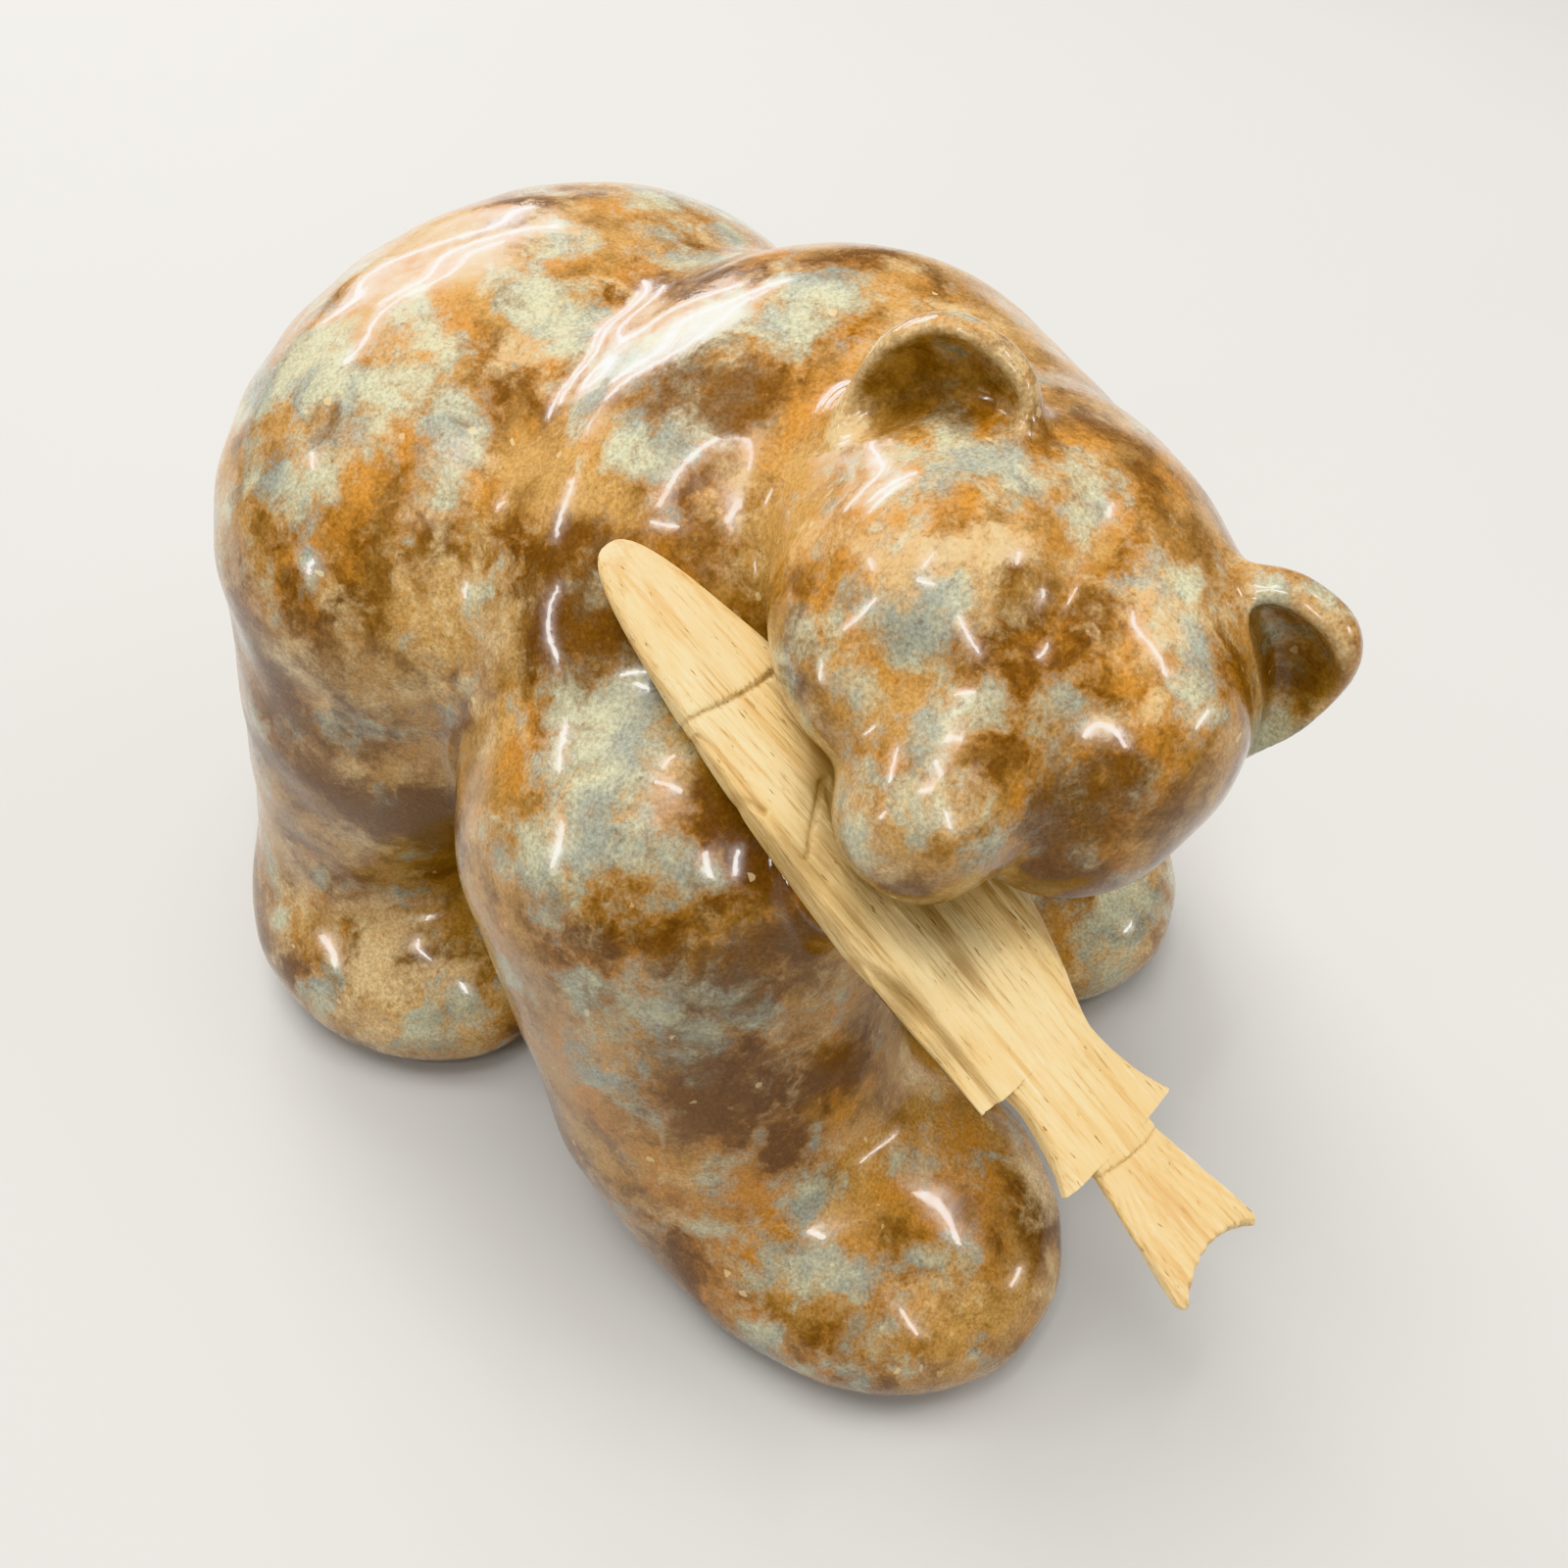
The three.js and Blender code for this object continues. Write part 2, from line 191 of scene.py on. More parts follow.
# Where the blade is widest, as a share of its length, and the power of that share which its
# outline follows from the nose.
FISH_WIDEST = 0.5
FISH_SNOUT_BLUNTNESS = 0.38
# Where the fish's upper face lies against the muzzle: a point in the head, and how far under it.
FISH_GRIP = (0, -25.3, -2.1)
FISH_GRIP_DROP = 9.9
FISH_HEAD_END = (-41.8, -2.4, 0)
FISH_SWING, FISH_DROOP = math.radians(-16), math.radians(15)
# Where the tail's root is, as a share of the length.
TAIL_ROOT = 0.84
TAIL_ROOT_HALF_WIDTH = 4.4
TAIL_HALF_WIDTH = 7
TAIL_NOTCH = 2.6
# How much of the tail's half width is rounded off at the corners of its end.
TAIL_BLUNTNESS = 0.14

# The two edges of the blade.
LOWER, UPPER = -1, 1


class Fin(NamedTuple):
    """A fin along one edge of the blade: side, start and end as shares of the fish's length,
    how far it stands out, and whether it ends in a step or dies away again."""

    side: int
    start: float
    end: float
    reach: float
    stepped: bool


FINS = (
    Fin(LOWER, 0.5, 0.705, 3.4, stepped=True),
    Fin(LOWER, 0.71, 0.826, 4.1, stepped=True),
    Fin(UPPER, 0.4, 0.72, 1.8, stepped=False),
    Fin(UPPER, 0.7, 0.83, 4.2, stepped=True),
)
# The edge of a stepped fin rises as this power of the share along it.
FIN_SWEEP = 1.5
# The section across the blade is a superellipse of this power, a box with rounded edges. At
# the snout its power is lower, close to a plain ellipse.
SECTION_POWER = 4.5
SNOUT_POWER = 2.2
# Shares of the length over which the snout grows to full thickness and the tail thins.
SNOUT_SHARE = 0.16
THINNING = (0.4, 0.95)


# ---- frames ----


def head_frame():
    """The head's frame: turned by yaw, pitch and roll about the head's centre."""
    turn = Matrix.Rotation(-HEAD_YAW, 4, "Z") @ Matrix.Rotation(HEAD_PITCH, 4, "X")
    return Matrix.Translation(HEAD_CENTRE) @ turn @ Matrix.Rotation(HEAD_ROLL, 4, "Y")


def fish_frame():
    """The fish's frame: under the end of the muzzle, drooping forward, then swung about."""
    drop = Vector((0, 0, -FISH_GRIP_DROP - FISH_HALF_THICKNESS))
    under = Matrix.Translation(FISH_GRIP) @ Matrix.Rotation(FISH_DROOP, 4, "X")
    swung = Matrix.Translation(drop) @ Matrix.Rotation(FISH_SWING, 4, "Z")
    return head_frame() @ under @ swung @ Matrix.Translation(FISH_HEAD_END)


def seen_from(place, points):
    """Points as a frame sees them: moved back by its origin, then turned back."""
    return (points - np.array(place.translation)) @ np.array(place.to_3x3())


def set_in(place, points):
    """Points given in a frame, turned and moved out of it."""
    return points @ np.array(place.to_3x3()).T + np.array(place.translation)


# ---- fields ----


def smoothstep(value, low, high):
    """0 below low and 1 above high, with 3t^2 - 2t^3 between them."""
    t = np.clip((value - low) / (high - low), 0, 1)
    return t * t * (3 - 2 * t)


def join(a, b, blend):
    """Both shapes: the lower field, less the cube of how closely they agree, for a fillet."""
    if blend == 0:
        return np.minimum(a, b)
    h = np.maximum(blend - np.abs(a - b), 0) / blend
    return np.minimum(a, b) - h**3 * blend / 6


def cut(a, b, blend):
    """The first shape without the second, with the edge between them rounded."""
    return -join(-a, b, blend)


def body_field(points):
    """Trunk masses one after another, then each leg with its foot."""
    field = TRUNK[0].field(points)
    for mass in TRUNK[1:]:
        field = join(field, mass.field(points), mass.blend)
    for leg, foot, side, ankle_offset, foot_offset in LIMBS:
        limb = leg._replace(
            start=mirrored(leg.start, side=side), end=mirrored(leg.end, ankle_offset, side)
        ).field(points)
        limb = join(limb, foot.moved(foot_offset, side).field(points), foot.blend)
        field = join(field, limb, leg.blend)
    return field


def head_field(points, shape):
    """Skull, cheeks and brows in the head's frame, then muzzle, jaw and ears."""
    field = SKULL.field(points)
    for side in (RIGHT, LEFT):
        field = join(field, CHEEK.moved(side=side).field(points), CHEEK.blend)
        field = join(field, BROW.moved(side=side).field(points), BROW.blend)
    for bridge in (BRIDGE, MUZZLE_SIDE):
        field = join(field, bridge.field(points), bridge.blend)
    muzzle = join(MUZZLE.field(points), NOSE.field(points), NOSE.blend)
    field = join(field, muzzle, shape.crease / MM)
    field = join(field, JAW.field(points), JAW.blend)
    field = cut(field, BROW_FOLD.field(points), BROW_FOLD.blend)
    for side, (ear, cup) in EARS.items():
        hollow = cup.moved(side=side).field(points)
        shell = cut(ear.moved(side=side).field(points), hollow, shape.ear_rim / MM)
        field = join(field, shell, shape.ear_fillet / MM)
    return field


def waves(points, length):
    """A slow unevenness from -1 to 1: the product of three crossed sines."""
    x, y, z = np.moveaxis(points * (2 * math.pi / length), -1, 0)
    return np.sin(x + 0.6 * y) * np.sin(y - 0.7 * z + 1.3) * np.sin(z + 0.8 * x + 2.1)


def stone_field(points, shape):
    """The whole stone: body, neck and head, the mouth cut round the fish, the floor cut flat."""
    head = head_frame()
    neck = NECK._replace(end=tuple(head @ Vector(NECK.end)))
    field = join(body_field(points), neck.field(points), neck.blend)
    in_head = seen_from(head, points)
    field = join(field, head_field(in_head, shape), HEAD_BLEND)
    field = field + shape.unevenness / MM * waves(points, shape.wave_length / MM)
    mouth = blade_field(seen_from(fish_frame(), points), shape.grip_gap / MM)
    field = cut(field, mouth, shape.mouth_edge / MM)
    return cut(field, points[..., 2], shape.foot_edge / MM)


# How far either way the field is read for its slope, how often points are moved, and how far
# at most in one move.
SLOPE_STEP = 0.05
SETTLING_ROUNDS = 4
LONGEST_MOVE = 1


def gradient(field, points):
    """The field's slope along each axis, from its values a short step ahead and behind."""
    steps = SLOPE_STEP * np.eye(3)
    rises = [field(points + step) - field(points - step) for step in steps]
    return np.stack(rises, -1) / (2 * SLOPE_STEP)


def settle(field, points):
    """Points slid along the field's slope until they lie on the surface, by Newton's rule."""
    for _ in range(SETTLING_ROUNDS):
        slope = gradient(field, points)
        move = field(points) / np.maximum((slope**2).sum(-1), TINY)
        points = points - np.clip(move, -LONGEST_MOVE, LONGEST_MOVE)[:, None] * slope
    return points


# ---- the net over the zero surface ----


def grid_lines(reach, fine, steps):
    """Lines over a reach: the fine step apart inside the fine stretch, the coarse outside it."""
    fine_step, coarse_step = steps
    inside = np.arange(*fine, fine_step)
    below = np.arange(fine[0], reach[0] - coarse_step, -coarse_step)[:0:-1]
    above = np.arange(inside[-1] + fine_step, reach[1] + coarse_step, coarse_step)
    return np.concatenate((below, inside, above))


def net_over(field, lines):
    """One vertex in each cell that the surface crosses, at the mean of its edges' crossings,
    and one quad round each crossed edge. The field is worked out a whole plane at a time, which
    saves memory, and every later step works on all cells or edges together."""
    shape = tuple(len(axis) for axis in lines)
    value = np.stack([
        field(np.stack(np.meshgrid([x], lines[1], lines[2], indexing="ij"), -1))[0]
        for x in lines[0]
    ])
    rings, crossings = [], []
    for axis in range(3):
        unit, across, up = np.roll(np.eye(3, dtype=int), -axis, axis=0)
        low = value[tuple(slice(0, size - one) for size, one in zip(shape, unit))]
        high = value[tuple(slice(one, None) for one in unit)]
        at = np.argwhere((low < 0) != (high < 0))
        here, there = low[tuple(at.T)], high[tuple(at.T)]
        share = here / (here - there)
        start = np.stack([lines[n][at[:, n]] for n in range(3)], -1)
        end = np.stack([lines[n][at[:, n] + unit[n]] for n in range(3)], -1)
        crossings.append(start + share[:, None] * (end - start))
        ring = np.stack([at, at - across, at - across - up, at - up], 1)
        ring[here >= 0] = ring[here >= 0][:, ::-1]
        rings.append(np.ravel_multi_index(np.moveaxis(ring, -1, 0), shape))
    rings = np.concatenate(rings)
    crossings = np.concatenate(crossings)
    _, quads, count = np.unique(rings, return_inverse=True, return_counts=True)
    quads = quads.reshape(-1, 4)
    total = [
        np.bincount(quads.ravel(), weights=np.repeat(crossings[:, n], 4)) for n in range(3)
    ]
    return np.stack(total, -1) / count[:, None], quads


# How far the net's grid runs past the bear's box, and the box round the head, along X, Y and
# Z, where it is fine.
NET_MARGIN = 3
FINE_BOX = ((-50, 24), (-82, -14), (70, 124))


def stone_surface(shape):
    """The stone's points and quads: the net over its field, settled onto the surface."""
    steps = (shape.fine_step / MM, shape.coarse_step / MM)
    low, high = (np.array(corner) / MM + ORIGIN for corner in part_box("bear"))
    reaches = zip(low - NET_MARGIN, high + NET_MARGIN)
    lines = [grid_lines(reach, fine, steps) for reach, fine in zip(reaches, FINE_BOX)]
    field = partial(stone_field, shape=shape)
    points, quads = net_over(field, lines)
    return settle(field, points), quads


# ---- what gathers where ----


class Cloud(NamedTuple):
    """A place where a colour gathers: its centre and how far it reaches."""

    centre: tuple
    reach: float


def gathered(points, places):
    """How much of a colour gathers at each point: the most of exp(-(d/r)^2) over its clouds,
    where d is the distance to a cloud's centre and r its reach."""
    centres = np.array([cloud.centre for cloud in places], float)
    reach = np.array([cloud.reach for cloud in places], float)
    distance2 = ((points[:, None] - centres) ** 2).sum(-1)
    return np.exp(-distance2 / reach**2).max(1)


def paint(piece, **layers):
    """Keeps each layer's value at every vertex as an attribute of the piece."""
    for name, values in layers.items():
        attribute = piece.data.attributes.new(name, "FLOAT", "POINT")
        attribute.data.foreach_set("value", np.ravel(values))


def clouds(*places):
    """Clouds from the X, Y and Z of their centres and their reaches."""
    return [Cloud(tuple(centre), reach) for *centre, reach in places]


CLOUDS = {
    "pale": clouds(
        # The back and rump, the right foreleg, the head, the left forefoot, then the far side.
        (-6, 1, 108, 13), (4, -2, 110, 9), (-30, 37, 98, 12), (-21, 25, 102, 9),
        (-4, 22, 105, 8), (30, 25, 100, 14), (10, 64, 88, 13), (-30, 62, 60, 12),
        (-42, -19, 84, 11), (-56, -22, 58, 9), (-48, -36, 62, 8), (-50, -59, 21, 9),
        (-5, -41, 115, 6), (-26, -50, 108, 8), (-33, -42, 102, 6), (-12, -32, 114, 5),
        (-9, -63, 106, 6), (5, -72, 84, 7), (-21, -58, 106, 5),
        (22, -56, 18, 13), (52, 30, 60, 12), (48, -20, 66, 12),
    ),
    "dark_and_shade": clouds(
        # The flank, the back, the right foreleg, the head, then the far side and the rump. On the
        # flank, under the left cheek and in the ear hollows this brown is partly painted shade.
        (-46, 19, 54, 25), (-31, -6, 94, 9), (-9, -8, 108, 8),
        (-41, -41, 67, 13), (-52, -36, 48, 10),
        (-26, -67, 86, 11), (-17, -72, 90, 10), (-25, -66, 94, 8), (-1, -30, 114, 7),
        (8, -72, 92, 5), (-29, -32, 103, 6), (4, -46, 108, 7),
        (40, 10, 50, 18), (20, 66, 60, 16),
    ),
    "rust": clouds(
        # The rump, the right foreleg and its foot, the head, then the far side.
        (-6, 40, 105, 14), (-30, 26, 99, 8),
        (-58, -27, 37, 13), (-53, -44, 27, 11), (-27, -60, 22, 12),
        (-22, -66, 100, 8), (-25, -37, 112, 8), (1, -46, 113, 8), (-10, -58, 107, 6),
        (-1, -42, 116, 6), (46, 20, 90, 13),
    ),
    "cream": clouds(
        # The rump, the right hind foot and flank, the forefeet, the head, then the far side. On
        # the right hind foot and the left forefoot this cream is partly painted light.
        (-6, 40, 105, 12), (-55, 20, 15, 20), (-36, 7, 86, 9), (-46, 23, 76, 9),
        (-21, -69, 16, 9), (22, -57, 18, 15),
        (-36, -55, 100, 5), (-19, -47, 114, 8), (-9, -62, 107, 8), (7, -20, 113, 6),
        (-13, -56, 110, 5), (50, 30, 20, 14),
    ),
}
# How wide the pale rim of each ear is, and how strongly it shows.
EAR_RIM_REACH, EAR_RIM_SHARE = 1.9, 1.2


def ear_rims(points):
    """How near each point is to an ear's rim: exp(-(d/r)^2), where d squared is the sum of the
    squares of its distances to the ear and to the shape that hollows it."""
    in_head = seen_from(head_frame(), points)
    near = [
        ear.moved(side=side).field(in_head) ** 2 + cup.moved(side=side).field(in_head) ** 2
        for side, (ear, cup) in EARS.items()
    ]
    return np.exp(-np.minimum(*near) / EAR_RIM_REACH**2)


def paint_clouds(piece, points):
    """Keeps what gathers where on the piece, for its material: the stone's own colours, with some
    painted shade in the brown and painted light in the cream. The ears' rims are cream.
    """
    layers = {kind: gathered(points, places) for kind, places in CLOUDS.items()}
    layers["cream"] = np.maximum(layers["cream"], EAR_RIM_SHARE * ear_rims(points))
    paint(piece, **layers)


# ---- the fish's blade ----


def tail_flare(s):
    """0 up to the tail's root, then rising evenly to 1 at its end."""
    return np.maximum((s - TAIL_ROOT) / (1 - TAIL_ROOT), 0)


def fish_reach(s, y):
    """How far the blade reaches from its middle line on the side where y lies: a power of s
    over the snout, a smooth narrowing to the tail's root, a lift for each fin, and the flare
    of the tail."""
    side = np.where(y < 0, LOWER, UPPER)
    snout = FISH_HALF_WIDTH * np.clip(s / FISH_WIDEST, TINY, 1) ** FISH_SNOUT_BLUNTNESS
    waist = smoothstep(s, FISH_WIDEST, TAIL_ROOT)
    reach = snout + (TAIL_ROOT_HALF_WIDTH - snout) * waist
    for fin in FINS:
        share = np.clip((s - fin.start) / (fin.end - fin.start), 0, 1)
        lift = share**FIN_SWEEP if fin.stepped else np.sin(share * math.pi)
        reach = reach + np.where((side == fin.side) & (s <= fin.end), fin.reach * lift, 0)
    return reach + (TAIL_HALF_WIDTH - TAIL_ROOT_HALF_WIDTH) * tail_flare(s)


def fish_thickness(s):
    """Half the blade's thickness: a quarter round over the snout, thinning to the tail."""
    snout = np.clip(s / SNOUT_SHARE, 0, 1)
    thin = smoothstep(s, *THINNING)
    full = FISH_HALF_THICKNESS + (FISH_TAIL_HALF_THICKNESS - FISH_HALF_THICKNESS) * thin
    return np.sqrt(snout * (2 - snout)) * full


def blade_field(points, grow):
    """How far outside the blade, grown all round, each point is: the fourth-power mean of its
    width and height against the blade's own, less 1, over the slope of that mean."""
    x, y, z = np.moveaxis(points, -1, 0)
    s = np.clip(x / FISH_LENGTH, 0, 1)
    width = fish_reach(s, y) + grow
    height = fish_thickness(s) + grow
    near = np.maximum(((y / width) ** 4 + (z / height) ** 4) ** 0.25, TINY)
    slope = np.hypot(y**3 / width**4, z**3 / height**4) / near**3
    beyond = np.maximum(-x, x - FISH_LENGTH) - grow
    return np.maximum((near - 1) / np.maximum(slope, 1 / FISH_LENGTH), beyond)


# How many points a groove's curve is drawn with.
CURVE_POINTS = 33


class Groove(NamedTuple):
    """A line cut into the fish's faces: four points that bend it as a cubic curve, in the
    blade's own millimetres from the nose, its half width and its depth."""

    points: tuple
    width: float
    depth: float

    def line(self):
        """Points along the cubic curve, from the four weights of a Bernstein polynomial."""
        t = np.linspace(0, 1, CURVE_POINTS)[:, None]
        weights = np.hstack(((1 - t) ** 3, 3 * t * (1 - t) ** 2, 3 * t * t * (1 - t), t**3))
        return weights @ np.array(self.points, float)


GILL = Groove(((18.7, -8.6), (20.4, -5), (21.4, -1), (21.4, 3.8)), 0.35, 0.4)
PECTORAL_FIN = (
    Groove(((21.5, -6.7), (24, -6.1), (28, -6.9), (31.8, -7.1)), 0.32, 0.5),
    Groove(((21.4, -7), (24.5, -8.2), (28, -8.3), (31.8, -7.1)), 0.32, 0.5),
)
BELLY_NOTCH = (
    Groove(((33.2, -0.3), (34.8, -2.6), (36.4, -4.8), (38.2, -7)), 0.3, 0.35),
    Groove(((33.4, 0.1), (35, -1), (37, -2), (38.6, -2.8)), 0.3, 0.35),
)
FIN_ROOTS = (
    Groove(((49, -9.6), (54, -7.2), (62, -7.6), (69.6, -7.9)), 0.45, 0.4),
    Groove(((69.4, -5.2), (72, -5.4), (76.4, -6.8), (81.8, -8)), 0.35, 0.2),
)
TAIL_LINE = Groove(((82.6, -5), (83.4, -1.4), (84.4, 1), (83.6, 5.5)), 0.35, 0.25)
GROOVES = (GILL, *PECTORAL_FIN, *BELLY_NOTCH, *FIN_ROOTS, TAIL_LINE)
# Steps down in the faces: how deep, and between which places a step fades out along the blade.
GILL_DROP, GILL_DROP_FADE = 0.45, (22, 33)
TAIL_DROP, TAIL_DROP_FADE = 0.45, (86, 97)
# The steps at the lower fins' roots: how deep, how far they take to set in, and how far they
# run past the fin's end.
FIN_DROPS = (1.6, 0.3)
FIN_DROP_START, FIN_DROP_OVERRUN = 4, 0.5
# How wide the rise of each step is.
DROP_WIDTH = 0.5
# The shallow facets that the knife leaves: how far apart and how deep, where along the blade
# they set in, and how far and over what lengths they wander.
FACET_WIDTH, FACET_DEPTH = 2.1, 0.09
FACETS_START = (20, 24)
FACET_WANDER, SLOW_WANDER_LENGTH, QUICK_WANDER_LENGTH = 1.5, 7, 3.1


def groove_depth(groove, x, y):
    """A cut whose depth falls off as exp(-(d/w)^2) with the distance d to the groove's curve."""
    line = groove.line()
    here = np.stack((x, y), -1)[..., None, :]
    start, step = line[:-1], np.diff(line, axis=0)
    share = ((here - start) * step).sum(-1) / (step**2).sum(-1)
    nearest = start + np.clip(share, 0, 1)[..., None] * step
    distance2 = ((here - nearest) ** 2).sum(-1).min(-1)
    return groove.depth * np.exp(-distance2 / groove.width**2)


def all_grooves(x, y):
    """How deep the grooves and the tail's rays are cut at each place."""
    return sum(groove_depth(groove, x, y) for groove in GROOVES) + tail_rays(x, y)


# The tail's rays: how many and how deep, how far in front of the tail's root they would meet,
# how far behind it they set in, and how narrow they are cut.
TAIL_RAYS, RAY_DEPTH = 8, 0.28
RAY_HUB = 6
RAYS_START = (1, 4)
RAY_SHARPNESS = 4


def tail_rays(x, y):
    """Grooves that fan out over the tail: a sharpened cosine of the angle from their hub."""
    root = TAIL_ROOT * FISH_LENGTH
    hub = root - RAY_HUB
    widest = math.atan2(TAIL_HALF_WIDTH, FISH_LENGTH - hub)
    spread = np.arctan2(y, np.maximum(x - hub, 1)) / widest
    depth = RAY_DEPTH * smoothstep(x - root, *RAYS_START)
    return depth * np.cos(spread * math.pi * TAIL_RAYS / 2) ** RAY_SHARPNESS


def beyond_curve(groove, x, y, axis):
    """0 on one side of a groove's curve and 1 on the other, over a short rise: beyond it along
    the blade for axis 0, and outside it, towards the lower edge, for axis 1."""
    along, across = groove.line().T
    past = x - np.interp(y, across, along) if axis == 0 else np.interp(x, along, across) - y
    return smoothstep(past, -DROP_WIDTH / 2, DROP_WIDTH / 2)


def face_drop(x, y):
    """How far a face is stepped down: behind the gill and the tail's line, fading along the
    blade, and outside the root of each lower fin."""
    drop = GILL_DROP * beyond_curve(GILL, x, y, 0) * (1 - smoothstep(x, *GILL_DROP_FADE))
    for fin, root, depth in zip(FINS, FIN_ROOTS, FIN_DROPS):
        start, end = fin.start * FISH_LENGTH, fin.end * FISH_LENGTH
        within = smoothstep(x, start, start + FIN_DROP_START) * (x < end + FIN_DROP_OVERRUN)
        drop = drop + depth * beyond_curve(root, x, y, 1) * within
    tail = beyond_curve(TAIL_LINE, x, y, 0)
    return drop + TAIL_DROP * tail * (1 - smoothstep(x, *TAIL_DROP_FADE))


def fish_relief(x, y):
    """How deep the fish's faces are cut at each place: all grooves, steps and facets, the
    facets a sine across the blade whose phase wanders along it."""
    phase = 2 * math.pi * y / FACET_WIDTH + FACET_WANDER * np.sin(x / SLOW_WANDER_LENGTH)
    phase = phase + np.sin(x / QUICK_WANDER_LENGTH + y)
    facets = FACET_DEPTH * (0.5 + 0.5 * np.sin(phase)) * smoothstep(x, *FACETS_START)
    return all_grooves(x, y) + face_drop(x, y) + facets


FISH_STATIONS, FISH_TURNS = 430, 180
# Shares of the fish's length: where the first station lies, how finely two stations can lie,
# and how far apart the two lie at each fin's step.
FIRST_STATION = 0.0006
STATION_DIGITS = 5
FIN_STEP = 0.004
# Extra stations towards the nose, as shares of the way to the second one.
NOSE_STATIONS = (0.1, 0.25, 0.5)
# Shares of the length: over the snout, where the section grows boxy; at the tail, how far its
# end is rounded over, and its corners. The rounding stops short of closing, at this share.
BOXY_FROM_TO = (0.1, 0.3)
END_ROUNDING, CORNER_ROUNDING = 0.01, 0.015
END_STOP = 0.95
# No cut is deeper than this share of half the blade's thickness, and cuts set in between these
# shares of its height.
DEEPEST_CUT = 0.7
CUTS_START = (0.1, 0.7)


def quarter_round(s, width, stop=1.0):
    """1 up to a width short of the tail's end, then falling over that width as a circle does."""
    return np.sqrt(1 - np.clip((s - 1 + width) / width, 0, stop) ** 2)


def fish_surface():
    """Points over stations along the fish by turns round it. Across the blade they follow the
    turn's cosine c, and their height is the pth root of 1 - |c|^p, times its thickness. The
    tail's end is notched by a parabola, and the faces are sunk by their relief."""
    even = np.linspace(FIRST_STATION, 1, FISH_STATIONS)
    steps = [fin.end + shift for fin in FINS if fin.stepped for shift in (0, FIN_STEP)]
    snout = even[1] * np.array(NOSE_STATIONS)
    s = np.unique(np.concatenate((even, steps, snout)).round(STATION_DIGITS))[:, None]
    turn = np.arange(FISH_TURNS) * (2 * math.pi / FISH_TURNS)
    width = np.cos(turn)
    power = SNOUT_POWER + (SECTION_POWER - SNOUT_POWER) * smoothstep(s, *BOXY_FROM_TO)
    height = np.maximum(1 - np.abs(width) ** power, 0) ** (1 / power) * np.sign(np.sin(turn))
    notch = TAIL_NOTCH * tail_flare(s) * (1 - width**2)
    x = s * FISH_LENGTH - notch
    blunt = 1 - TAIL_BLUNTNESS * (1 - quarter_round(s, CORNER_ROUNDING))
    y = width * blunt * fish_reach(s, width)
    half = fish_thickness(s) * quarter_round(s, END_ROUNDING, END_STOP)
    relief = np.minimum(fish_relief(x, y), DEEPEST_CUT * half)
    relief = relief * smoothstep(np.abs(height), *CUTS_START)
    z = height * half - relief * np.sign(height)
    return np.stack((x, y, z), -1)


# Brown on the fish, in its own frame: on its face under the mouth, then on its lower edge. It is
# partly a stain and partly painted shade where the muzzle overhangs the blade.
STAINS_AND_SHADE = clouds(
    (35, -1, 3, 4), (38, -6, 2.5, 5), (45, -4, 3, 6), (51, -1, 3, 6.5), (57, -2, 3, 4),
    (56, -8.5, 1.5, 4), (62, -10, 1.5, 3.5),
)
# The side wall sets in between these shares of the blade's reach.
WALL_START = (0.9, 1)


def paint_fish(piece, surface):
    """Keeps, for the bone's material, where the blade is browned by the mouth, partly a stain and
    partly painted shade under the muzzle, how nearly it is the lower side wall, and how deep it
    is cut, which sets the painted shade in the cuts."""
    x, y, _ = np.moveaxis(surface, -1, 0)
    s = np.clip(x / FISH_LENGTH, 0, 1)
    share = np.abs(y) / fish_reach(s, y)
    paint(
        piece,
        stain=gathered(surface.reshape(-1, 3), STAINS_AND_SHADE),
        wall=smoothstep(share, *WALL_START) * (y < 0),
        cuts=all_grooves(x, y),
    )


def close_strip(ring):
    """Quads across the end of a tube, between each vertex and the one under it, with a
    triangle at each edge."""
    count = len(ring)
    half = count // 2
    upper = np.arange(1, half - 1)
    quads = ring[np.stack((upper, upper + 1, count - upper - 1, count - upper), 1)]
    return [*quads.tolist(), ring[[0, 1, count - 1]].tolist(),
            ring[[half - 1, half, half + 1]].tolist()]


def tube_faces(rings, turns):
    """Quads between neighbouring rings, and a closed strip at each end."""
    index = np.arange(rings * turns).reshape(rings, turns)
    here, after = index[:-1], index[1:]
    quads = np.stack((here, np.roll(here, -1, 1), np.roll(after, -1, 1), after), -1)
    ends = close_strip(index[0][::-1]) + close_strip(index[-1])
    return quads.reshape(-1, 4).tolist() + ends


# ---- meshes ----


def new_piece(name, points, faces, material):
    """A smooth-shaded object from points in millimetres, at the origin, in metres."""
    mesh = bpy.data.meshes.new(name)
    mesh.from_pydata((points * MM).tolist(), [], faces)
    mesh.validate()
    mesh.shade_smooth()
    mesh.materials.append(material)
    piece = bpy.data.objects.new(name, mesh)
    bpy.context.scene.collection.objects.link(piece)
    return piece


# ---- materials ----


